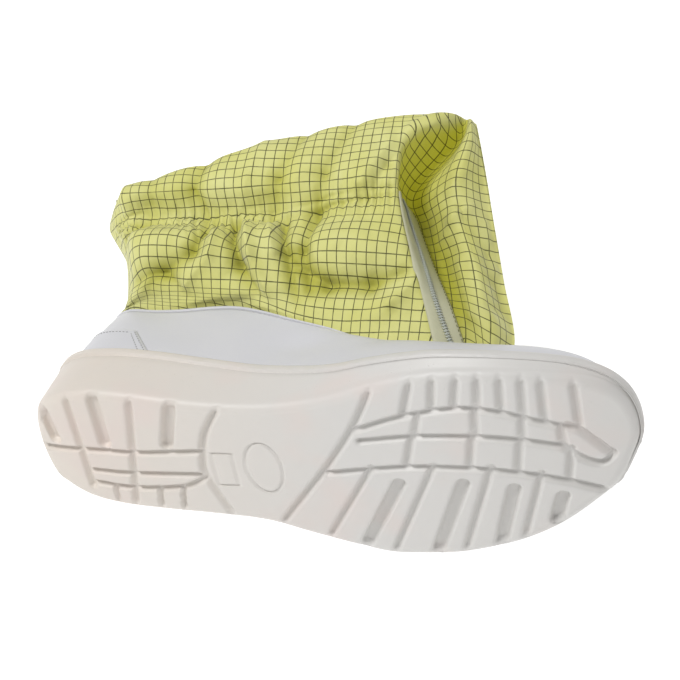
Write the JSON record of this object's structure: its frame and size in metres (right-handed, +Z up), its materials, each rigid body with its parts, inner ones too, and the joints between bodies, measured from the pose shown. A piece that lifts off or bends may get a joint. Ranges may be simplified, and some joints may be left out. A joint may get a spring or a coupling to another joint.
{
  "type": "cleanroom boot",
  "caption": "Slip-on work boot with a moulded treaded sole, a low smooth upper and a slack gridded cloth shaft with an elastic gather and a front zip.",
  "frame": {"origin": "middle of the bounds on the floor", "axes": "+X from heel to toe, +Y from the tread to the shaft's folded end, +Z up from the floor; the boot lies on its outer side"},
  "size_m": [0.2952, 0.252, 0.129],
  "materials": {
    "moulded_polyurethane": "satin off-white moulded polyurethane with fine pits",
    "insole_felt": "matt grey felt",
    "white_upper": "smooth white synthetic leather",
    "gridded_cloth": "thin yellow-green woven cloth with a dark conductive grid",
    "zip_nylon": "greyish translucent nylon"
  },
  "bodies": {
    "root": {"sole": "moulded_polyurethane", "insole": "insole_felt", "upper": "white_upper", "heel_counter": "white_upper", "collar_binding": "white_upper", "shaft": "gridded_cloth", "zip_tape": "zip_nylon", "zip_teeth": "zip_nylon"}
  },
  "joints": []
}
